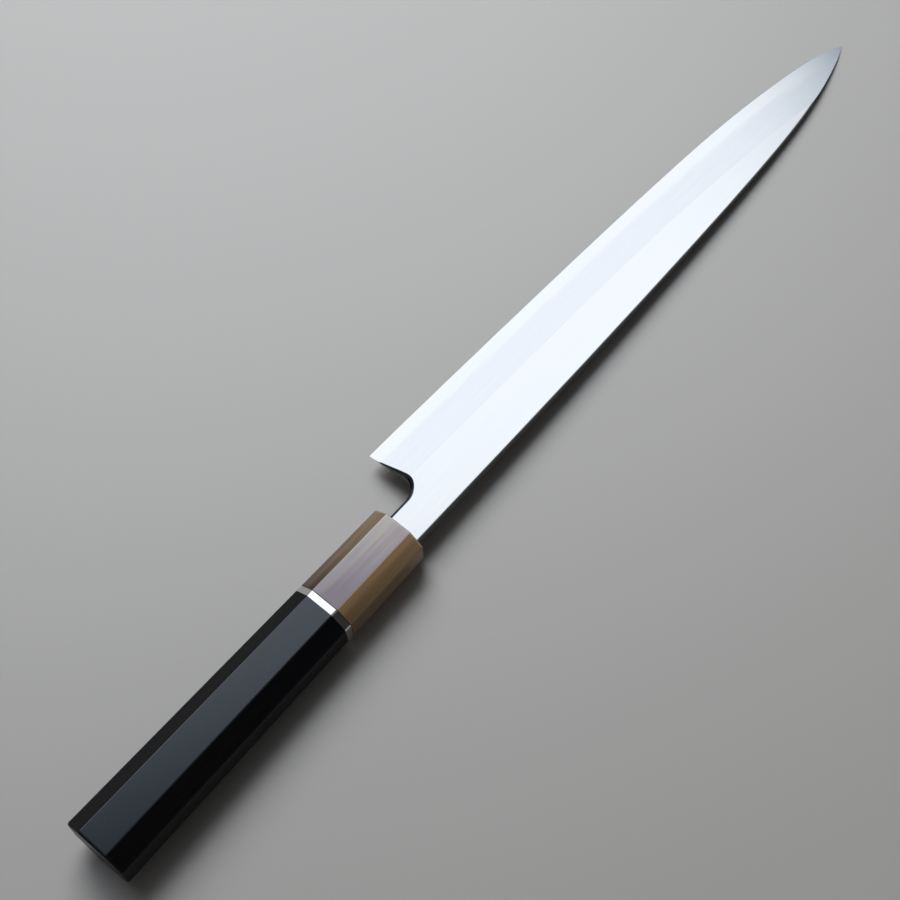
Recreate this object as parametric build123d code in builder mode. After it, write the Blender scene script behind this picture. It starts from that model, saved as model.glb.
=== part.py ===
"""A left-handed yanagiba with an octagonal handle.

The knife lies as it does on a table, bevel side up: it tips forward until the ferrule's
lower front edge and the tip of the blade both touch the table at z = 0. The knife points
along +X, its cutting edge looks along +Y, and lengths are in millimetres.
"""
from build123d import *
import os
from math import atan2, cos, radians, sin, tan

os.makedirs("parts", exist_ok=True)

# Handle: ebony, then the metal ring, the black liner and the horn ferrule
handle_length = 141.5
ebony_length = 103.0
ring_length = 2.4
liner_length = 0.3
butt_width = 24.5
butt_thickness = 20.5
butt_corner = 6.3
mouth_width = 21.0
mouth_thickness = 17.0
mouth_corner = 5.35
corner_angle = 38.2
handle_edge_round = 1.0

# Inside the handle: the dowel that joins its parts, and the slot that the neck passes
dowel_diameter = 12.4
dowel_past_tang = 7.0
mouth_wall = 4.0
seal_gap = 0.5
seal_recess = 0.3

# Blade in plan, seen square to its flat side
edge_length = 240.5
neck_length = 14.9
heel_height = 34.6
spine_from_axis = 6.8
neck_width = 12.95
heel_lean = 1.4
choil_radius = 6.5

# Blade in thickness, from the ground back up
neck_thickness = 3.9
tip_thickness = 1.9
edge_land = 0.15
steel_at_heel = 1.15
steel_at_tip = 0.7
steel_past_heel = 3.0
spine_round = 0.4
choil_round = 0.65
hollow_depth = 0.4

# Tang: a tapered bar inside the dowel
tang_length = 92.0
tang_root_width = 9.4
tang_end_width = 4.6
tang_root_thickness = 3.2
tang_end_thickness = 2.2

# How far a cut runs past what it cuts
overrun = 2.0

# Lines on the blade: share of the edge's length from the heel, and share of the heel's
# height from the spine. The slopes, of each line at its two ends, are in the same shares.
spine_shares = [(0.16, 0.0), (0.51, 0.022), (0.75, 0.071), (0.875, 0.145), (0.95, 0.253), (1.0, 0.378)]
spine_slope_shares = [0.0, 4.2]
edge_shares = [
    (0.0, 1.0),
    (0.1, 0.98),
    (0.35, 0.912),
    (0.64, 0.808),
    (0.805, 0.704),
    (0.91, 0.584),
    (0.965, 0.489),
    (1.0, 0.378),
]
edge_slope_shares = [-0.12, -4.9]

# The bevel's surface: share along the edge, then its lower and its upper side as shares of
# the heel's height. It starts behind the heel, and its upper side leaves the blade where the
# ridge runs out into the spine.
bevel_shares = [
    (-0.175, 1.0, 0.53),
    (0.0, 1.0, 0.509),
    (0.175, 0.961, 0.479),
    (0.35, 0.912, 0.448),
    (0.5, 0.864, 0.41),
    (0.64, 0.808, 0.35),
    (0.805, 0.704, 0.236),
    (0.91, 0.584, 0.112),
    (1.0, 0.378, -0.098),
]

# The hollow in the back: share along the edge, its two sides as shares of the heel's
# height, and its depth as a share of the full depth
hollow_shares = [
    (0.03, 0.06, 0.93, 0.2),
    (0.2, 0.055, 0.91, 1.0),
    (0.45, 0.07, 0.84, 0.9),
    (0.7, 0.105, 0.735, 0.7),
    (0.86, 0.18, 0.615, 0.4),
    (0.94, 0.285, 0.49, 0.1),
]

# Places that follow from the sizes
liner_back = ebony_length + ring_length
ferrule_back = liner_back + liner_length
dowel_front = handle_length - mouth_wall
tang_back = dowel_front - tang_length
dowel_back = tang_back - dowel_past_tang
heel_x = handle_length + neck_length
tip_x = heel_x + edge_length
spine_y = -spine_from_axis
heel_y = spine_y + heel_height
neck_y = spine_y + neck_width
back_level = -neck_thickness / 2
front_level = back_level + neck_thickness


def taper(x):
    """Width, thickness and corner cut of the handle at x from the butt."""
    share = x / handle_length
    width = butt_width + (mouth_width - butt_width) * share
    thickness = butt_thickness + (mouth_thickness - butt_thickness) * share
    corner = butt_corner + (mouth_corner - butt_corner) * share
    return width, thickness, corner


def flat_level(x):
    """Height of the flat side at x: the blade thins evenly from the handle to its tip."""
    share = (x - handle_length) / (tip_x - handle_length)
    return front_level + (tip_thickness - neck_thickness) * share


def on_blade(along, across):
    """The plan place at a share of the edge's length and a share of the heel's height."""
    return heel_x + along * edge_length, spine_y + across * heel_height


def slopes(shares):
    """Directions on the blade from slopes in the same shares."""
    return [(edge_length, share * heel_height) for share in shares]


# The knife tips about the ferrule's lower front edge until the blade's tip is down
pivot_x = handle_length - handle_edge_round
pivot_z = -taper(pivot_x)[1] / 2
tilt = atan2(back_level - pivot_z, tip_x - pivot_x)
tail_x = (handle_edge_round - butt_thickness / 2) * sin(tilt)
nose_x = tip_x * cos(tilt) + back_level * sin(tilt)
knife = Plane(
    origin=(
        -(tail_x + nose_x) / 2,
        -(heel_y - butt_width / 2) / 2,
        pivot_x * sin(tilt) - pivot_z * cos(tilt),
    ),
    x_dir=(cos(tilt), 0, -sin(tilt)),
    z_dir=(sin(tilt), 0, cos(tilt)),
)
side = Plane(origin=knife.origin, x_dir=knife.x_dir, z_dir=-knife.y_dir)
along_knife = Axis(knife.origin, knife.x_dir)


def station(x):
    """The plane square to the knife at x from the butt. Its axes are the knife's y and z."""
    return Plane(origin=knife.from_local_coords((x, 0, 0)), x_dir=knife.y_dir, z_dir=knife.x_dir)


def level(z):
    """The plane parallel to the blade's back at height z from the handle's axis."""
    return Plane(origin=knife.from_local_coords((0, 0, z)), x_dir=knife.x_dir, z_dir=knife.z_dir)


def outline_at(plane, points):
    """A closed straight-sided outline on a plane."""
    with BuildSketch(plane) as sketch:
        with BuildLine():
            Polyline(*points, close=True)
        make_face()
    return sketch.sketch


def octagon_corners(x):
    """The corners of the handle's section at x: an octagon cut at one angle all round."""
    width, thickness, corner = taper(x)
    flat = width / 2 - corner
    wall = thickness / 2 - corner * tan(radians(corner_angle))
    quarter = [(width / 2, wall), (flat, thickness / 2)]
    upper = quarter + [(-y, z) for y, z in reversed(quarter)]
    corners = upper + [(-y, -z) for y, z in upper]
    return [knife.from_local_coords((x, y, z)) for y, z in corners]


def facet_planes():
    """The planes of the handle's eight facets, facing outwards."""
    butt = octagon_corners(0)
    mouth = octagon_corners(handle_length)
    planes = []
    for corner, following, ahead in zip(butt, butt[1:] + butt[:1], mouth):
        across = following - corner
        planes.append(Plane(origin=corner, x_dir=across, z_dir=across.cross(ahead - corner)))
    return planes


def handle_stretch(piece, back, front, end=None):
    """Make a piece's stretch of the handle: a billet planed to eight flat facets, its
    arrises eased, and also the rim of one end."""
    with BuildSketch(station(back)) as billet:
        Rectangle(butt_width + overrun, butt_thickness + overrun)
    extrude(billet.sketch, amount=front - back)
    for facet in facet_planes():
        split(bisect_by=facet, keep=Keep.BOTTOM)
    eased = [edge for edge in piece.edges() if edge.tangent_at(0.5).dot(knife.x_dir) ** 2 > 0.5]
    if end is not None:
        eased += piece.faces().sort_by(along_knife)[end].edges()
    fillet(eased, handle_edge_round)


def dowel_section(x):
    """The round section of the dowel and of the bore that it fills."""
    with BuildSketch(station(x)) as sketch:
        Circle(dowel_diameter / 2)
    return sketch.sketch


def neck_section(x, gap=0):
    """The neck's section at x, grown by a gap all round."""
    with BuildSketch(station(x)) as sketch:
        with Locations((spine_y + neck_width / 2, 0)):
            Rectangle(neck_width + gap * 2, neck_thickness + gap * 2)
        fillet(sketch.vertices().group_by(Axis.X)[0], spine_round + gap)
        fillet(sketch.vertices().group_by(Axis.X)[-1], choil_round + gap)
    return sketch.sketch


def tang_section(x, width, thickness):
    """The tang's section at x."""
    with BuildSketch(station(x)) as sketch:
        Rectangle(width, thickness)
    return sketch.sketch


def weld_level(x):
    """Height of the weld between the two metals at x."""
    share = (x - heel_x) / edge_length
    return back_level + steel_at_heel + (steel_at_tip - steel_at_heel) * share


def bevel_waste(along, lower, upper):
    """What the bevel's grinding takes away at one place: all above the line from edge to ridge."""
    x, edge_y = on_blade(along, lower)
    ridge_y = on_blade(along, upper)[1]
    edge_z = back_level + edge_land
    slope = (flat_level(x) - edge_z) / (ridge_y - edge_y)
    outside = (edge_y + overrun, edge_z + slope * overrun)
    inside = (ridge_y - overrun, flat_level(x) - slope * overrun)
    roof = front_level + overrun
    return outline_at(station(x), [outside, (outside[0], roof), (inside[0], roof), inside])


def hollow_section(along, near_spine, near_edge, depth):
    """The hollow at one place along the back: a shallow arc, closed below the back."""
    x, low_y = on_blade(along, near_spine)
    high_y = on_blade(along, near_edge)[1]
    with BuildSketch(station(x)) as sketch:
        with BuildLine():
            top = (low_y / 2 + high_y / 2, back_level + hollow_depth * depth)
            ThreePointArc((low_y, back_level), top, (high_y, back_level))
            floor = back_level - overrun
            Polyline((high_y, back_level), (high_y, floor), (low_y, floor), (low_y, back_level))
        make_face()
    return sketch.sketch


def is_rim_edge(edge):
    """Whether an edge runs round the blade's flat or its back, not up its sides or its end."""
    upright = abs(edge.tangent_at(0.5).dot(knife.z_dir)) > 0.5
    at_end = abs(knife.to_local_coords(edge @ 0.5).X - dowel_front) < neck_thickness / 2
    return not upright and not at_end


def is_spine_edge(edge):
    """Whether an edge runs along the spine, from the neck to the tip."""
    return is_rim_edge(edge) and knife.to_local_coords(edge @ 0.5).Y < 0


def is_choil_edge(edge):
    """Whether an edge runs along the neck's other side, the choil or the heel."""
    middle = knife.to_local_coords(edge @ 0.5)
    return is_rim_edge(edge) and middle.Y > 0 and middle.X < heel_x + heel_lean


# Ebony handle: the long tapered octagon, rounded at the butt and bored from the front
with BuildPart() as ebony_handle:
    handle_stretch(ebony_handle, 0, ebony_length, end=0)
    extrude(dowel_section(dowel_back), amount=ebony_length - dowel_back, mode=Mode.SUBTRACT)
ebony_handle.part.label = "ebony_handle"

# Nickel silver ring: a slice of the same octagon, threaded on the dowel
with BuildPart() as nickel_silver_ring:
    handle_stretch(nickel_silver_ring, ebony_length, liner_back)
    extrude(dowel_section(ebony_length), amount=ring_length, mode=Mode.SUBTRACT)
nickel_silver_ring.part.label = "nickel_silver_ring"

# Black liner: a thin sheet between the ring and the horn
with BuildPart() as black_liner:
    handle_stretch(black_liner, liner_back, ferrule_back)
    extrude(dowel_section(liner_back), amount=liner_length, mode=Mode.SUBTRACT)
black_liner.part.label = "black_liner"

# Horn ferrule: rounded at its mouth and bored from behind, with a front wall that only
# the neck's slot goes through
with BuildPart() as horn_ferrule:
    handle_stretch(horn_ferrule, ferrule_back, handle_length, end=-1)
    extrude(dowel_section(ferrule_back), amount=dowel_front - ferrule_back, mode=Mode.SUBTRACT)
    extrude(neck_section(dowel_front, seal_gap), amount=mouth_wall, mode=Mode.SUBTRACT)
horn_ferrule.part.label = "horn_ferrule"

# Dowel: the round core that the ebony, the ring, the liner and the horn are glued on,
# with the slot that the hot tang burned into it
tang_root = tang_section(dowel_front, tang_root_width, tang_root_thickness)
tang_end = tang_section(tang_back, tang_end_width, tang_end_thickness)
with BuildPart() as dowel_core:
    extrude(dowel_section(dowel_back), amount=dowel_front - dowel_back)
    loft([tang_end, tang_root], ruled=True, mode=Mode.SUBTRACT)
dowel_core.part.label = "dowel_core"

# Mouth seal: the resin that closes the slot around the neck
with BuildPart() as mouth_seal:
    extrude(neck_section(dowel_front, seal_gap), amount=mouth_wall - seal_recess)
    extrude(neck_section(dowel_front), amount=mouth_wall, mode=Mode.SUBTRACT)
mouth_seal.part.label = "mouth_seal"

# The forged blank, before it is split into its two metals: neck and blade in plan, thinned
# towards the tip, with eased spine and heel, and one wide bevel ground from ridge to edge
with BuildPart() as blank:
    with BuildSketch(level(back_level)):
        with BuildLine():
            choil_corner = (heel_x + heel_lean, neck_y)
            FilletPolyline((heel_x, heel_y), choil_corner, (dowel_front, neck_y), radius=choil_radius)
            spine_start = on_blade(*spine_shares[0])
            Polyline((dowel_front, neck_y), (dowel_front, spine_y), spine_start)
            Spline(*[on_blade(*place) for place in spine_shares], tangents=slopes(spine_slope_shares))
            Spline(*[on_blade(*place) for place in edge_shares], tangents=slopes(edge_slope_shares))
        make_face()
    extrude(amount=neck_thickness)
    with BuildSketch(side):
        with BuildLine():
            past_tip = tip_x + overrun
            roof = front_level + overrun
            Polyline(
                (handle_length, front_level),
                (past_tip, flat_level(past_tip)),
                (past_tip, roof),
                (handle_length, roof),
                close=True,
            )
        make_face()
    extrude(amount=heel_height, both=True, mode=Mode.SUBTRACT)
    fillet(blank.edges().filter_by(is_spine_edge), spine_round)
    fillet(blank.edges().filter_by(is_choil_edge), choil_round)
    loft([bevel_waste(*shares) for shares in bevel_shares], mode=Mode.SUBTRACT)

# Everything below the weld between the two metals, and no further back than the steel
with BuildPart() as steel_zone:
    with BuildSketch(side):
        with BuildLine():
            steel_start = heel_x - steel_past_heel
            floor = back_level - overrun
            Polyline(
                (steel_start, floor),
                (steel_start, weld_level(steel_start)),
                (past_tip, weld_level(past_tip)),
                (past_tip, floor),
                close=True,
            )
        make_face()
    extrude(amount=heel_height, both=True)

# Hard steel: the layer that forms the whole back and the cutting edge, with its hollow
with BuildPart() as blade_hard_steel:
    add(blank)
    add(steel_zone, mode=Mode.INTERSECT)
    loft([hollow_section(*shares) for shares in hollow_shares], mode=Mode.SUBTRACT)
blade_hard_steel.part.label = "blade_hard_steel"

# Soft iron: the cladding with the flat side and the spine, in one forging with the neck
# and the tang
with BuildPart() as blade_soft_iron:
    add(blank)
    add(steel_zone, mode=Mode.SUBTRACT)
    loft([tang_end, tang_root], ruled=True)
blade_soft_iron.part.label = "blade_soft_iron"

export_step(ebony_handle.part, "parts/ebony_handle.step")
export_step(nickel_silver_ring.part, "parts/nickel_silver_ring.step")
export_step(black_liner.part, "parts/black_liner.step")
export_step(horn_ferrule.part, "parts/horn_ferrule.step")
export_step(dowel_core.part, "parts/dowel_core.step")
export_step(mouth_seal.part, "parts/mouth_seal.step")
export_step(blade_hard_steel.part, "parts/blade_hard_steel.step")
export_step(blade_soft_iron.part, "parts/blade_soft_iron.step")
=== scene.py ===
"""Looks of a left-handed yanagiba: how each part of the knife is finished, and how it is lit."""
from math import cos, radians, sin

import bmesh
import bpy
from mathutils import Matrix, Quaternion, Vector

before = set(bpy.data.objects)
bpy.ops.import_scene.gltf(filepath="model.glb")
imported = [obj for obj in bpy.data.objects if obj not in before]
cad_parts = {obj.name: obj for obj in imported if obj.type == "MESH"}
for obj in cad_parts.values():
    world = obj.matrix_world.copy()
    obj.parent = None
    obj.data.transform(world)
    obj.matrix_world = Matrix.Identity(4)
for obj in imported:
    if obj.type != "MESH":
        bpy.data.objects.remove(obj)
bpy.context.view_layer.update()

# The camera looks down on the knife from beyond its butt, with the handle low and the tip
# high in the picture. It is turned a little about its own line of sight.
camera_place = Vector((-0.2143, -0.21516, 0.60643))
camera_target = Vector((-0.02065, 0.00258, 0.0))
camera_roll = radians(-8.1946)
camera_lens = 78.532
camera_sensor = 36.0
camera_nearest = 0.01

camera_data = bpy.data.cameras.new("camera")
camera_data.sensor_width = camera_sensor
camera_data.lens = camera_lens
camera_data.clip_start = camera_nearest
camera = bpy.data.objects.new("camera", camera_data)
camera.location = camera_place
camera.rotation_mode = "QUATERNION"
level_aim = (camera_target - camera_place).to_track_quat("-Z", "Y")
camera.rotation_quaternion = level_aim @ Quaternion((0, 0, 1), camera_roll)
bpy.context.scene.collection.objects.link(camera)
bpy.context.scene.camera = camera

# The floor is a plain pale sheet with a low sheen, laid flat under the knife. It reaches so
# far beyond the knife that no edge of it comes into any view.
floor_radius = 8.0
floor_sides = 96
floor_colour = (0.405, 0.395, 0.38, 1)
floor_roughness = 0.36
floor_sheen = 1.0

disc = bmesh.new()
bmesh.ops.create_circle(disc, cap_ends=True, segments=floor_sides, radius=floor_radius)
floor_mesh = bpy.data.meshes.new("floor")
disc.to_mesh(floor_mesh)
disc.free()
floor = bpy.data.objects.new("floor", floor_mesh)
bpy.context.scene.collection.objects.link(floor)
floor_paint = bpy.data.materials.new("floor_paint")
floor_paint.use_nodes = True
floor_shader = floor_paint.node_tree.nodes["Principled BSDF"]
floor_shader.inputs["Base Color"].default_value = floor_colour
floor_shader.inputs["Roughness"].default_value = floor_roughness
floor_shader.inputs["Specular IOR Level"].default_value = floor_sheen
floor_shader.inputs["Coat Weight"].default_value = floor_sheen
floor_shader.inputs["Coat Roughness"].default_value = floor_roughness
floor_mesh.materials.append(floor_paint)

# The light is one soft lamp high beyond the blade, which casts the shadows. The polished
# faces mirror the room: grey all round, paler low down and past the tip, with one dark corner
# behind and one wide soft window in its ceiling. Its grey lights matt faces less.
lamp_place = Vector((0.50, 0.71, 0.98))
lamp_side = 0.82
lamp_power = 15.2
lamp_colour = (1.0, 0.99, 0.97)
room_grey = (0.19, 0.19, 0.195, 1)
room_dim = (0.05, 0.05, 0.05, 1)
room_corner = (0.02, 0.02, 0.022, 1)
room_ahead = (0.40, 0.48, 0.60, 1)
room_low = (0.27, 0.265, 0.26, 1)
room_below = (0.3, 0.295, 0.285, 1)
corner_way = (0.14, -0.855, 0.50)
corner_span = (0.955, 0.985)
ahead_spans = {"X": (0.2, 0.65), "Y": (0.0, 0.4)}
over_span = (0.65, 0.9)
low_span = (0.46, 0.28)
below_span = (0.1, -0.02)
# The ceiling is one unit up, so the window's places and sizes on it are slopes.
window_colour = (1.53, 1.65, 1.83, 1)
window_centre = (0.564, 0.926, 0.0)
window_turn = (0.0, 0.0, radians(-25.0))
window_half = {"X": 0.425, "Y": 0.675}
window_edge = {"X": 0.12, "Y": 0.05}
lowest_look = 0.02


def add_node(tree, kind, inputs=(), **settings):
    """Add a shader node with its settings, and give its inputs values or links."""
    made = tree.nodes.new("ShaderNode" + kind)
    for name, value in settings.items():
        setattr(made, name, value)
    for name, value in dict(inputs).items():
        if isinstance(value, bpy.types.NodeSocket):
            tree.links.new(value, made.inputs[name])
        else:
            made.inputs[name].default_value = value
    return made


def compute(tree, operation, first, second=0.0):
    """Join two values by one operation, such as ADD or MULTIPLY."""
    return add_node(tree, "Math", {0: first, 1: second}, operation=operation).outputs["Value"]


def rise(tree, value, span, ends=(0.0, 1.0), way="SMOOTHSTEP"):
    """Go from one end to the other while a value goes over a span."""
    if span[0] > span[1]:
        span, ends = span[::-1], ends[::-1]
    known = {"Value": value, "From Min": span[0], "From Max": span[1]}
    known.update({"To Min": ends[0], "To Max": ends[1]})
    return add_node(tree, "MapRange", known, interpolation_type=way).outputs["Result"]


def mix_colours(tree, share, first, second):
    """Mix two colours by a share from 0 to 1."""
    ends = {"Factor": share, "A": first, "B": second}
    return add_node(tree, "Mix", ends, data_type="RGBA").outputs["Result"]


lamp_data = bpy.data.lights.new("lamp", "AREA")
lamp_data.shape = "SQUARE"
lamp_data.size = lamp_side
lamp_data.energy = lamp_power
lamp_data.color = lamp_colour
lamp = bpy.data.objects.new("lamp", lamp_data)
lamp.location = lamp_place
lamp.rotation_euler = lamp_place.to_track_quat("Z", "Y").to_euler()
lamp.visible_glossy = False
bpy.context.scene.collection.objects.link(lamp)

room = bpy.data.worlds.new("room")
room.use_nodes = True
bpy.context.scene.world = room
sky = room.node_tree
look_way = add_node(sky, "TexCoord").outputs["Generated"]
look = add_node(sky, "SeparateXYZ", {0: look_way}).outputs
soft_light = add_node(sky, "LightPath").outputs["Is Diffuse Ray"]
grey = mix_colours(sky, soft_light, room_grey, room_dim)
corner = add_node(sky, "VectorMath", {0: look_way, 1: corner_way}, operation="DOT_PRODUCT")
in_corner = rise(sky, corner.outputs["Value"], corner_span)
walls = mix_colours(sky, in_corner, grey, room_corner)
past_tip = compute(sky, "MULTIPLY", *[rise(sky, look[a], ahead_spans[a]) for a in "XY"])
walls = mix_colours(sky, past_tip, walls, room_ahead)
for span, shade in ((over_span, grey), (low_span, room_low), (below_span, room_below)):
    walls = mix_colours(sky, rise(sky, look["Z"], span), walls, shade)
height = compute(sky, "MAXIMUM", look["Z"], lowest_look)
slopes = {axis: compute(sky, "DIVIDE", look[axis], height) for axis in "XY"}
ceiling = add_node(sky, "CombineXYZ", slopes).outputs["Vector"]
turned = {"Vector": ceiling, "Location": window_centre, "Rotation": window_turn}
on_window = add_node(sky, "Mapping", turned, vector_type="TEXTURE").outputs["Vector"]
from_middle = add_node(sky, "VectorMath", {0: on_window}, operation="ABSOLUTE").outputs["Vector"]
sides = add_node(sky, "SeparateXYZ", {0: from_middle}).outputs
within = [
    rise(sky, sides[a], (window_half[a] + window_edge[a], window_half[a] - window_edge[a]))
    for a in "XY"
]
lit_room = mix_colours(sky, compute(sky, "MULTIPLY", *within), walls, window_colour)
sky.links.new(lit_room, sky.nodes["Background"].inputs["Color"])
bpy.context.scene.view_settings.view_transform = "Standard"

# Soft iron: the cladding of the blade, with the flat side and the spine, forged in one piece
# with the neck. The flat is polished to a fine satin and the bevel left hazy from the stones.
# The spine, the choil and the neck's sides stay darker, and a near-black band of painted shade,
# darkest round the choil, stands for the dark reflection of the rounded rim.
blade_tilt = radians(1.46612)
handle_end = (-0.198242, -0.007775, 0.0121044)
millimetre = 0.001
weld_start, weld_level, weld_fall = 156.4, -0.8, 0.45 / 240.5
weld_wander = (-0.08, 0.08)
weld_span = (0.32, -0.12)
iron_flat = (0.60, 0.59, 0.57, 1)
iron_bevel = (0.565, 0.56, 0.55, 1)
iron_mark = (0.40, 0.42, 0.45, 1)
mark_share = 0.10
mark_span = (0.35, 0.75)
bright_steel = (0.60, 0.59, 0.57, 1)
blade_wall = (0.17, 0.18, 0.19, 1)
flat_gloss, bevel_gloss, wall_gloss = 0.13, 0.17, 0.45
gloss_wander = (-0.015, 0.015)
bevel_span = (0.05, 0.16)
wall_span = (0.85, 0.45)
most_lines = (0.3, 0.7)
stone_lines = {"Length": 30.0, "Spacing": 0.28, "Seed": 1.0}
stone_clouds = {"Length": 9.0, "Spacing": 2.2, "Seed": 2.0}
# Painted shade: near-black colours for the band round the choil and along the neck, for the dark
# reflection of their rounded rim.
choil_rim_painted_shade = (0.012, 0.013, 0.016, 1)
neck_rim_painted_shade = (0.05, 0.055, 0.068, 1)
rim_gloss = 0.35
rim_up_span = (0.2, 0.5)
# The choil in millimetres on the knife: the corner where the neck's side and the choil would
# meet, the choil's lean, its round, and how the rim narrows up to the heel and down to the neck.
choil_corner = (157.8, 6.15)
choil_lean = 1.4 / 21.65
choil_radius = 6.5
rim_at_heel = ((10.0, 27.0), (1.5, 0.1))
rim_at_neck = ((10.0, 6.0), (0.0, 0.5))
rim_edge = (0.12, -0.12)
neck_rim_span = (8.0, 6.0)
stone_relief = {"Strength": 0.12, "Distance": 0.008 * millimetre}
relief_on_flat = 0.3


def start_group(name, inputs, outputs):
    """Start a node group, and give its tree, its inputs and its outputs."""
    group = bpy.data.node_groups.new(name, "ShaderNodeTree")
    for way, sockets in (("INPUT", inputs), ("OUTPUT", outputs)):
        for socket, kind in sockets.items():
            group.interface.new_socket(socket, in_out=way, socket_type="NodeSocket" + kind)
    given, wanted = group.nodes.new("NodeGroupInput"), group.nodes.new("NodeGroupOutput")
    return group, given.outputs, wanted.inputs


def start_finish(name, metallic=0.0):
    """Start a finish, and give it, its tree and its shader."""
    finish = bpy.data.materials.new(name)
    finish.use_nodes = True
    shader = finish.node_tree.nodes["Principled BSDF"]
    shader.inputs["Metallic"].default_value = metallic
    return finish, finish.node_tree, shader


def finish_piece(piece, finish):
    """Give one piece of the knife its finish."""
    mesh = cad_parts[piece].data
    mesh.materials.clear()
    mesh.materials.append(finish)


def parts_of(tree, vector):
    """Split a place or a direction into its parts along, across and up the knife."""
    split = add_node(tree, "SeparateXYZ", {0: vector}).outputs
    return split["X"], split["Y"], split["Z"]


# Where a point lies on the knife, in millimetres from the butt along its axis, and which way
# the surface faces there, both along the knife's own directions.
knife_place, _, found = start_group("knife_place", {}, {"Place": "Vector", "Facing": "Vector"})
seen = add_node(knife_place, "TexCoord").outputs
lying = {"Vector": seen["Object"], "Location": handle_end, "Rotation": (0, blade_tilt, 0)}
lying["Scale"] = (millimetre, millimetre, millimetre)
measured = add_node(knife_place, "Mapping", lying, vector_type="TEXTURE")
knife_place.links.new(measured.outputs["Vector"], found["Place"])
levelled = {"Vector": seen["Normal"], "Rotation": (0, -blade_tilt, 0)}
facing = add_node(knife_place, "Mapping", levelled, vector_type="POINT")
knife_place.links.new(facing.outputs["Vector"], found["Facing"])

# Fine lines that run along the knife, as grain, stone marks and polish do. Equal length and
# spacing give an even mottle instead.
fine_lines, asked, found = start_group(
    "fine_lines",
    {"Place": "Vector", "Length": "Float", "Spacing": "Float", "Seed": "Float"},
    {"Lines": "Float"},
)
across_lines = compute(fine_lines, "DIVIDE", 1.0, asked["Spacing"])
along_lines = compute(fine_lines, "DIVIDE", 1.0, asked["Length"])
pulled = {"X": along_lines, "Y": across_lines, "Z": across_lines}
pulled = {0: asked["Place"], 1: add_node(fine_lines, "CombineXYZ", pulled).outputs["Vector"]}
drawn = add_node(fine_lines, "VectorMath", pulled, operation="MULTIPLY").outputs["Vector"]
streaks = {"Vector": drawn, "W": asked["Seed"], "Scale": 1.0, "Detail": 3.0}
streaks = add_node(fine_lines, "TexNoise", streaks, noise_dimensions="4D")
fine_lines.links.new(streaks.outputs[0], found["Lines"])

# How near a point lies to the weld between iron and steel: 1 at the weld and below it, and
# fading to 0 above it, with an edge that wanders as the clouds do.
weld_shine, asked, found = start_group(
    "weld_shine", {"Place": "Vector", "Clouds": "Float"}, {"Shine": "Float"}
)
along, _, up = parts_of(weld_shine, asked["Place"])
past_start = compute(weld_shine, "SUBTRACT", along, weld_start)
fallen = compute(weld_shine, "MULTIPLY", past_start, weld_fall)
over_weld = compute(weld_shine, "SUBTRACT", compute(weld_shine, "ADD", up, fallen), weld_level)
wander = rise(weld_shine, asked["Clouds"], most_lines, weld_wander)
over_weld = compute(weld_shine, "ADD", over_weld, wander)
weld_shine.links.new(rise(weld_shine, over_weld, weld_span), found["Shine"])


def on_knife(tree):
    """Give the place and the facing of a point on the knife."""
    placed = add_node(tree, "Group", node_tree=knife_place).outputs
    return placed["Place"], placed["Facing"]


def draw_lines(tree, place, lines):
    """Draw fine lines of a given length, spacing and seed on a finish."""
    wanted = {"Place": place, **lines}
    return add_node(tree, "Group", wanted, node_tree=fine_lines).outputs["Lines"]


def shine_at_weld(tree, place):
    """Set the brighter shine along the weld into a finish."""
    wanted = {"Place": place, "Clouds": draw_lines(tree, place, stone_clouds)}
    return add_node(tree, "Group", wanted, node_tree=weld_shine).outputs["Shine"]


def cut_relief(tree, shader, height, relief):
    """Cut a shallow relief into a finish, and light it by that."""
    cut = add_node(tree, "Bump", {"Height": height, **relief})
    tree.links.new(cut.outputs["Normal"], shader.inputs["Normal"])


def on_choil_rim(tree, along, across):
    """Mark the rim along the neck's inner side, round the choil and up to the heel, where a band
    of painted shade goes.
    """
    from_neck = compute(tree, "SUBTRACT", choil_corner[1], across)
    from_choil = compute(tree, "SUBTRACT", along, choil_corner[0])
    leant = compute(tree, "MULTIPLY", from_neck, choil_lean)
    from_choil = compute(tree, "SUBTRACT", from_choil, leant)
    inward = [
        compute(tree, "MAXIMUM", compute(tree, "ADD", side, choil_radius), 0.0)
        for side in (from_neck, from_choil)
    ]
    inward = add_node(tree, "CombineXYZ", {0: inward[0], 1: inward[1]}).outputs["Vector"]
    inward = add_node(tree, "VectorMath", {0: inward}, operation="LENGTH").outputs["Value"]
    inward = compute(tree, "SUBTRACT", inward, choil_radius)
    width = rise(tree, across, *rim_at_heel)
    width = compute(tree, "SUBTRACT", width, rise(tree, across, *rim_at_neck))
    return rise(tree, compute(tree, "SUBTRACT", inward, width), rim_edge)


iron, iron_tree, iron_shader = start_finish("soft_iron", 1.0)
place, facing = on_knife(iron_tree)
along, across, _ = parts_of(iron_tree, place)
_, faces_edge, faces_up = parts_of(iron_tree, facing)
is_bevel = rise(iron_tree, faces_edge, bevel_span)
is_wall = rise(iron_tree, faces_up, wall_span)
stone_marks = draw_lines(iron_tree, place, stone_lines)
shine = shine_at_weld(iron_tree, place)
bevel_tone = mix_colours(iron_tree, shine, iron_bevel, bright_steel)
marked = rise(iron_tree, stone_marks, mark_span, (0.0, mark_share))
bevel_tone = mix_colours(iron_tree, marked, bevel_tone, iron_mark)
tone = mix_colours(iron_tree, is_bevel, iron_flat, bevel_tone)
tone = mix_colours(iron_tree, is_wall, tone, blade_wall)
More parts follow.
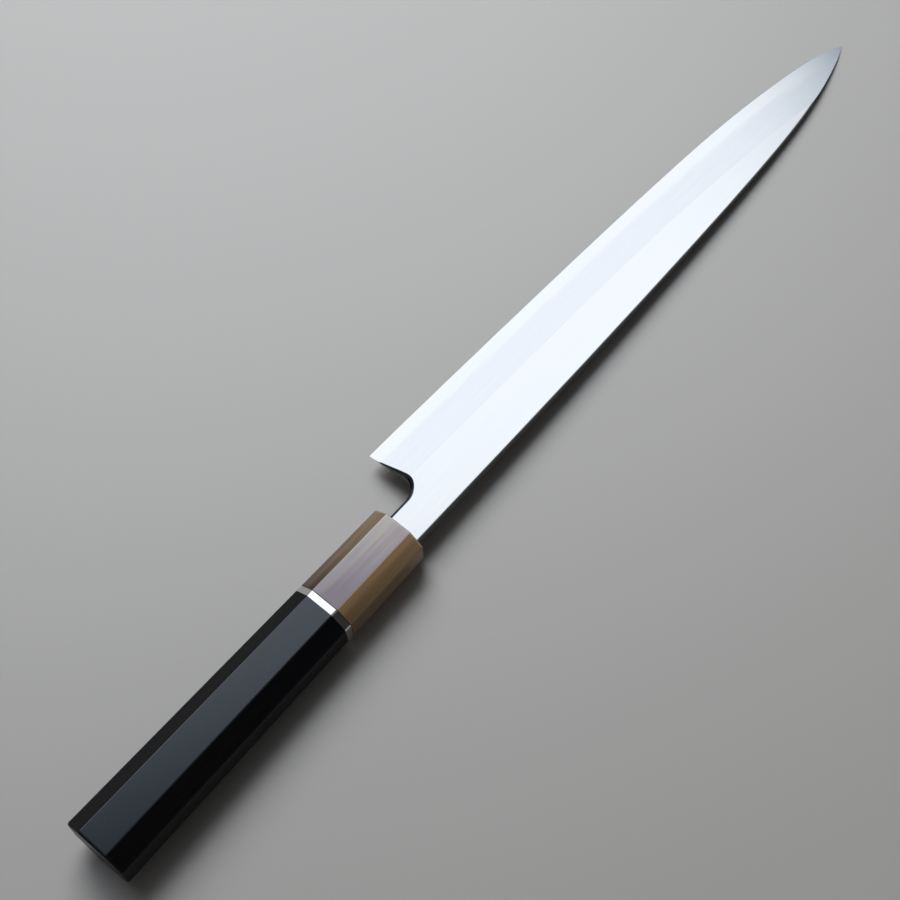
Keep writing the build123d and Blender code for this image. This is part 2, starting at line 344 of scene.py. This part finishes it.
# Painted shade: the rim's band is darkened to near black for the dark reflection of the rounded
# rim, and made rougher.
on_shaded_rim = on_choil_rim(iron_tree, along, across)
on_shaded_rim = compute(iron_tree, "MULTIPLY", on_shaded_rim, rise(iron_tree, faces_up, rim_up_span))
rim_painted_shade = mix_colours(iron_tree, rise(iron_tree, across, neck_rim_span), choil_rim_painted_shade, neck_rim_painted_shade)
tone = mix_colours(iron_tree, on_shaded_rim, tone, rim_painted_shade)
iron_tree.links.new(tone, iron_shader.inputs["Base Color"])
gloss = rise(iron_tree, faces_edge, bevel_span, (flat_gloss, bevel_gloss))
gloss = compute(iron_tree, "ADD", gloss, rise(iron_tree, stone_marks, most_lines, gloss_wander))
coarse = compute(iron_tree, "MULTIPLY", is_wall, wall_gloss)
gloss = compute(iron_tree, "MAXIMUM", gloss, coarse)
dull = compute(iron_tree, "MULTIPLY", on_shaded_rim, rim_gloss)
gloss = compute(iron_tree, "MAXIMUM", gloss, dull)
iron_tree.links.new(gloss, iron_shader.inputs["Roughness"])
depth = rise(iron_tree, faces_edge, bevel_span, (relief_on_flat, 1.0))
depth = compute(iron_tree, "MULTIPLY", stone_marks, depth)
cut_relief(iron_tree, iron_shader, depth, stone_relief)
finish_piece("blade_soft_iron", iron)

# Hard steel: the layer forge-welded under the iron. It shows as the bright strip along the
# cutting edge and as the whole hollow-ground back, and takes a higher polish than the iron.
steel_gloss = (0.12, 0.16)
edge_side_span = (0.5, 0.1)

steel, steel_tree, steel_shader = start_finish("hard_steel", 1.0)
place, facing = on_knife(steel_tree)
_, faces_edge, faces_up = parts_of(steel_tree, facing)
upright = rise(steel_tree, compute(steel_tree, "ABSOLUTE", faces_up), wall_span)
is_wall = compute(steel_tree, "MULTIPLY", upright, rise(steel_tree, faces_edge, edge_side_span))
strip = mix_colours(steel_tree, shine_at_weld(steel_tree, place), iron_bevel, bright_steel)
tone = mix_colours(steel_tree, is_wall, strip, blade_wall)
steel_tree.links.new(tone, steel_shader.inputs["Base Color"])
stone_marks = draw_lines(steel_tree, place, stone_lines)
gloss = rise(steel_tree, stone_marks, most_lines, steel_gloss)
coarse = compute(steel_tree, "MULTIPLY", is_wall, wall_gloss)
gloss = compute(steel_tree, "MAXIMUM", gloss, coarse)
steel_tree.links.new(gloss, steel_shader.inputs["Roughness"])
cut_relief(steel_tree, steel_shader, stone_marks, stone_relief)
finish_piece("blade_hard_steel", steel)

# Dowel: a round rod of pale wood, glued through the middle of the handle, with the blade's
# tang burnt into it. Nothing of it shows once the knife is put together.
dowel_pale = (0.62, 0.46, 0.30, 1)
dowel_dark = (0.45, 0.30, 0.17, 1)
dowel_gloss = 0.6
dowel_grain = {"Length": 40.0, "Spacing": 0.8, "Seed": 3.0}
dowel_span = (0.35, 0.65)

dowel, dowel_tree, dowel_shader = start_finish("dowel_wood")
place, _ = on_knife(dowel_tree)
grain = rise(dowel_tree, draw_lines(dowel_tree, place, dowel_grain), dowel_span)
tone = mix_colours(dowel_tree, grain, dowel_pale, dowel_dark)
dowel_tree.links.new(tone, dowel_shader.inputs["Base Color"])
dowel_shader.inputs["Roughness"].default_value = dowel_gloss
finish_piece("dowel_core", dowel)

# Ebony: the long tapered octagon of the handle, cut from one block and bored for the dowel,
# oiled and rubbed to a satin. It is close to black, with fine pores along the grain, and the
# top facet has taken a higher polish from the palm. The top facet's colour also carries a faint
# blue painted sheen, and the upper arrises a painted highlight.
corner_facet = radians(38.2)
facet_span = (0.995, 0.965)
upper_span = (0.7, 0.85)
top_span = (0.88, 0.97)
ebony_black = (0.003, 0.003, 0.0035, 1)
ebony_brown = (0.006, 0.005, 0.0045, 1)
# Painted sheen: the faint blue mixed into the top facet's colour.
ebony_painted_sheen = (0.003, 0.006, 0.013, 1)
# Painted highlight: the lighter colour along the ebony's upper arrises.
ebony_arris_highlight = (0.02, 0.018, 0.017, 1)
arris_highlight_share = 0.2
ebony_tint = (0.7, 0.8, 1.0, 1)
ebony_level = 0.15
ebony_gloss = (0.26, 0.34)
pore_gloss = 0.12
palm_polish = 0.12
palm_index = 1.53
ebony_bands = {"Length": 60.0, "Spacing": 3.0, "Seed": 5.0}
ebony_mottle = {"Length": 5.0, "Spacing": 2.5, "Seed": 6.0}
ebony_pores = {"Length": 7.0, "Spacing": 0.25, "Seed": 4.0}
band_span = (0.4, 0.7)
pore_span = (0.58, 0.72)
pore_relief = {"Strength": 0.2, "Distance": 0.015 * millimetre}

# How far the surface turns away from every facet of the octagon, which is so only on the
# rounded arrises, where a painted highlight goes. Those of the lower half are left out.
arrises, asked, found = start_group("arrises", {"Facing": "Vector"}, {"Arris": "Float"})
outward = add_node(arrises, "VectorMath", {0: asked["Facing"]}, operation="ABSOLUTE").outputs[0]
on_facet = 0.0
for way in ((0, 0, 1), (0, 1, 0), (0, sin(corner_facet), cos(corner_facet))):
    towards = add_node(arrises, "VectorMath", {0: outward, 1: way}, operation="DOT_PRODUCT")
    on_facet = compute(arrises, "MAXIMUM", towards.outputs["Value"], on_facet)
_, _, faces_up = parts_of(arrises, asked["Facing"])
upper = rise(arrises, faces_up, upper_span)
rounded = compute(arrises, "MULTIPLY", rise(arrises, on_facet, facet_span), upper)
arrises.links.new(rounded, found["Arris"])


def paint_arris_highlight(tree, facing, tone, highlight_tone, share):
    """Lighten a finish along the rounded upper arrises of the octagon, as a painted highlight.
    """
    rounded = add_node(tree, "Group", {"Facing": facing}, node_tree=arrises).outputs["Arris"]
    return mix_colours(tree, compute(tree, "MULTIPLY", rounded, share), tone, highlight_tone)


ebony, ebony_tree, ebony_shader = start_finish("ebony")
place, facing = on_knife(ebony_tree)
_, _, faces_up = parts_of(ebony_tree, facing)
on_top = rise(ebony_tree, faces_up, top_span)
bands = rise(ebony_tree, draw_lines(ebony_tree, place, ebony_bands), band_span)
tone = mix_colours(ebony_tree, bands, ebony_black, ebony_brown)
# Painted sheen: the top facet's colour is tinted blue for the window's reflection on it.
tone = mix_colours(ebony_tree, on_top, tone, ebony_painted_sheen)
tone = paint_arris_highlight(ebony_tree, facing, tone, ebony_arris_highlight, arris_highlight_share)
ebony_tree.links.new(tone, ebony_shader.inputs["Base Color"])
pores = rise(ebony_tree, draw_lines(ebony_tree, place, ebony_pores), pore_span)
mottle = draw_lines(ebony_tree, place, ebony_mottle)
gloss = rise(ebony_tree, mottle, most_lines, ebony_gloss)
dull = compute(ebony_tree, "MULTIPLY", pores, pore_gloss)
ebony_tree.links.new(compute(ebony_tree, "ADD", gloss, dull), ebony_shader.inputs["Roughness"])
ebony_shader.inputs["Specular IOR Level"].default_value = ebony_level
ebony_shader.inputs["Specular Tint"].default_value = ebony_tint
ebony_tree.links.new(on_top, ebony_shader.inputs["Coat Weight"])
ebony_shader.inputs["Coat Roughness"].default_value = palm_polish
ebony_shader.inputs["Coat IOR"].default_value = palm_index
cut_relief(ebony_tree, ebony_shader, compute(ebony_tree, "SUBTRACT", 1.0, pores), pore_relief)
finish_piece("ebony_handle", ebony)

# Ring: a slice of nickel silver, glued between the ebony and the liner, then ground to the
# octagon with them and polished bright. It has faint polishing lines round the handle.
ring_tone = (0.80, 0.78, 0.74, 1)
ring_gloss = (0.10, 0.18)
ring_polish = {"Length": 0.12, "Spacing": 6.0, "Seed": 7.0}

ring, ring_tree, ring_shader = start_finish("nickel_silver", 1.0)
ring_shader.inputs["Base Color"].default_value = ring_tone
place, _ = on_knife(ring_tree)
gloss = rise(ring_tree, draw_lines(ring_tree, place, ring_polish), most_lines, ring_gloss)
ring_tree.links.new(gloss, ring_shader.inputs["Roughness"])
finish_piece("nickel_silver_ring", ring)

# Liner: a thin sheet of black fibre, glued between the ring and the horn and ground flush
# with both. Only its narrow rim shows, as a black line round the handle.
liner_tone = (0.006, 0.006, 0.006, 1)
liner_gloss = 0.4

liner, _, liner_shader = start_finish("black_fibre")
liner_shader.inputs["Base Color"].default_value = liner_tone
liner_shader.inputs["Roughness"].default_value = liner_gloss
finish_piece("black_liner", liner)

# Horn: the ferrule, cut from one piece of buffalo horn, bored for the dowel, glued on and
# polished to a gloss. Its colour lies in lengthwise layers, from brown and amber through a
# cloudy grey to nearly black; the grey and mauve of the top facet are partly the horn's own
# and partly painted reflection of the window. The top facet pales towards the mouth as a
# painted sheen, the sides turn straw there, and the upper arrises carry a painted highlight.
horn_brown = (0.19, 0.12, 0.06, 1)
horn_amber = (0.40, 0.245, 0.12, 1)
horn_mauve = (0.22, 0.195, 0.24, 1)
horn_cloud_and_sheen = (0.31, 0.30, 0.34, 1)
horn_dark = (0.024, 0.013, 0.007, 1)
horn_smoke = (0.075, 0.055, 0.04, 1)
# The mauve and grey layers over the top facet are partly painted reflection of the window, over
# the horn's own layers.
horn_layers = (
    (-8.5, horn_brown),
    (-6.2, horn_amber),
    (-5.4, horn_amber),
    (-5.1, horn_mauve),
    (1.5, horn_mauve),
    (5.1, horn_cloud_and_sheen),
    (5.4, horn_dark),
    (7.0, horn_dark),
    (8.5, horn_smoke),
)
horn_half = 11.0
horn_pale_sheen = (0.80, 0.75, 0.65, 1)
horn_straw = (0.75, 0.55, 0.30, 1)
pale_along = (108.0, 141.0)
pale_wander = (-9.0, 9.0)
pale_across = (-5.1, 5.1)
pale_shares = (0.25, 0.42)
straw_share = 0.2
facet_edge = (5.4, 5.1)
horn_streak = (0.07, 0.03, 0.015, 1)
horn_rose = (0.36, 0.20, 0.21, 1)
# Painted highlight: the pale colour along the horn's upper arrises.
horn_arris_highlight = (0.55, 0.52, 0.50, 1)
streak_shares = (0.0, 0.25)
rose_shares = (0.0, 0.22)
horn_arris_highlight_share = 0.45
broad_layers = {"Length": 60.0, "Spacing": 3.0, "Seed": 8.0}
narrow_layers = {"Length": 45.0, "Spacing": 1.4, "Seed": 9.0}
rose_clouds = {"Length": 10.0, "Spacing": 3.5, "Seed": 10.0}
broad_span = (0.25, 0.75)
narrow_span = (0.45, 0.8)
rose_span = (0.5, 0.75)
horn_gloss = (0.17, 0.24)
end_core = (8.0, 1.0)
end_span = (0.6, 0.9)


def layers_across(tree, across, half, layers):
    """Colour a piece by where a point lies across it, from a list of places and colours."""
    share = rise(tree, across, (-half, half), way="LINEAR")
    ramp = add_node(tree, "ValToRGB", {0: share})
    stops = ramp.color_ramp.elements
    shares = [(at + half) / (2 * half) for at, _ in layers]
    for at_share in shares[len(stops):]:
        stops.new(at_share)
    for stop, at_share, (_, colour) in zip(stops, shares, layers):
        stop.position = at_share
        stop.color = colour
    return ramp.outputs["Color"]


horn, horn_tree, horn_shader = start_finish("buffalo_horn")
place, facing = on_knife(horn_tree)
along, across, _ = parts_of(horn_tree, place)
broad = draw_lines(horn_tree, place, broad_layers)
narrow = draw_lines(horn_tree, place, narrow_layers)
clouds = draw_lines(horn_tree, place, rose_clouds)
drift = compute(horn_tree, "ADD", along, rise(horn_tree, broad, broad_span, pale_wander))
near_mouth = rise(horn_tree, drift, pale_along, way="LINEAR")
tone = layers_across(horn_tree, across, horn_half, horn_layers)
on_broad_facet = rise(horn_tree, compute(horn_tree, "ABSOLUTE", across), facet_edge)
# Towards the mouth the top facet is paled as a painted sheen, most on the edge side, and the
# sides turn straw.
pale = mix_colours(horn_tree, on_broad_facet, horn_straw, horn_pale_sheen)
most_pale = rise(horn_tree, across, pale_across, pale_shares)
share = rise(horn_tree, on_broad_facet, (0.0, 1.0), (straw_share, most_pale))
tone = mix_colours(horn_tree, compute(horn_tree, "MULTIPLY", near_mouth, share), tone, pale)
faces_mouth, _, _ = parts_of(horn_tree, facing)
core = rise(horn_tree, compute(horn_tree, "ABSOLUTE", across), end_core)
end_tone = mix_colours(horn_tree, core, horn_brown, horn_mauve)
tone = mix_colours(horn_tree, rise(horn_tree, faces_mouth, end_span), tone, end_tone)
tone = mix_colours(horn_tree, rise(horn_tree, clouds, rose_span, rose_shares), tone, horn_rose)
streaked = rise(horn_tree, narrow, narrow_span, streak_shares)
tone = mix_colours(horn_tree, streaked, tone, horn_streak)
tone = paint_arris_highlight(horn_tree, facing, tone, horn_arris_highlight, horn_arris_highlight_share)
horn_tree.links.new(tone, horn_shader.inputs["Base Color"])
gloss = rise(horn_tree, broad, most_lines, horn_gloss)
horn_tree.links.new(gloss, horn_shader.inputs["Roughness"])
finish_piece("horn_ferrule", horn)

# Mouth seal: the dark resin poured into the slot of the ferrule round the neck. It holds the
# blade and keeps water out of the dowel, and is wiped level with the end of the horn.
seal_tone = (0.02, 0.015, 0.012, 1)
seal_gloss = 0.35

seal, _, seal_shader = start_finish("mouth_resin")
seal_shader.inputs["Base Color"].default_value = seal_tone
seal_shader.inputs["Roughness"].default_value = seal_gloss
finish_piece("mouth_seal", seal)
